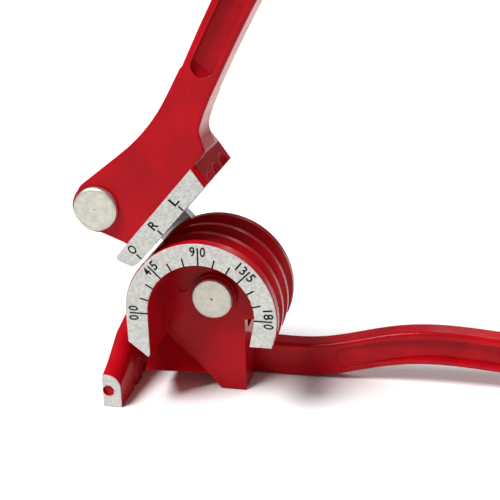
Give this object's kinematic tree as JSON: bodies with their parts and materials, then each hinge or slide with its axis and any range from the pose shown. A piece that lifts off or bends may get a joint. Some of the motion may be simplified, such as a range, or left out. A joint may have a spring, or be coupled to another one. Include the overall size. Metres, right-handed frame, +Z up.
{
  "type": "tube bender",
  "caption": "Lever tube bender: grooved half wheel with degree marks, hook, handle, and a swinging grooved shoe on a lever.",
  "frame": {"origin": "centre of the flat bottom face of the foot, which the tool stands on", "axes": "+X along the lower handle away from the hook, +Y along the wheel's axis away from the degree marks, +Z up"},
  "size_m": [0.268, 0.0486, 0.258],
  "materials": {
    "red_casting": "glossy red enamel over die-cast aluminium, ground bare on the degree ring, the shoe's strip and the hook's end",
    "turned_steel": "turned and bead-finished nickel-plated steel",
    "link_steel": "zinc-plated steel plate",
    "washer_steel": "zinc-plated steel",
    "spring_steel": "dark oiled spring steel",
    "bronze": "sintered bronze"
  },
  "bodies": {
    "former": {"former_body": "red_casting", "wheel_pin": "turned_steel", "wheel_head_washer": "washer_steel", "wheel_thrust_washer": "washer_steel", "wheel_spring_washer": "spring_steel", "wheel_back_washer": "washer_steel", "wheel_clip": "spring_steel"},
    "link": {"link_plate": "link_steel", "link_bush": "bronze", "lever_pin": "turned_steel", "lever_head_washer": "washer_steel", "lever_thrust_washer": "washer_steel", "lever_spring_washer": "spring_steel", "lever_back_washer": "washer_steel", "lever_clip": "spring_steel"},
    "lever": {"forming_lever": "red_casting", "lever_bush": "bronze"}
  },
  "joints": [
    {"name": "link_swing", "type": "hinge", "parent": "former", "child": "link", "pos_m": [-0.0067, 0.0105, 0.0406], "axis": [0, 1, 0], "range_deg": [-41, 139]},
    {"name": "lever_pivot", "type": "hinge", "parent": "link", "child": "lever", "pos_m": [-0.04359, -0.0113, 0.08085], "axis": [0, 1, 0], "range_deg": [-150, 0]}
  ]
}
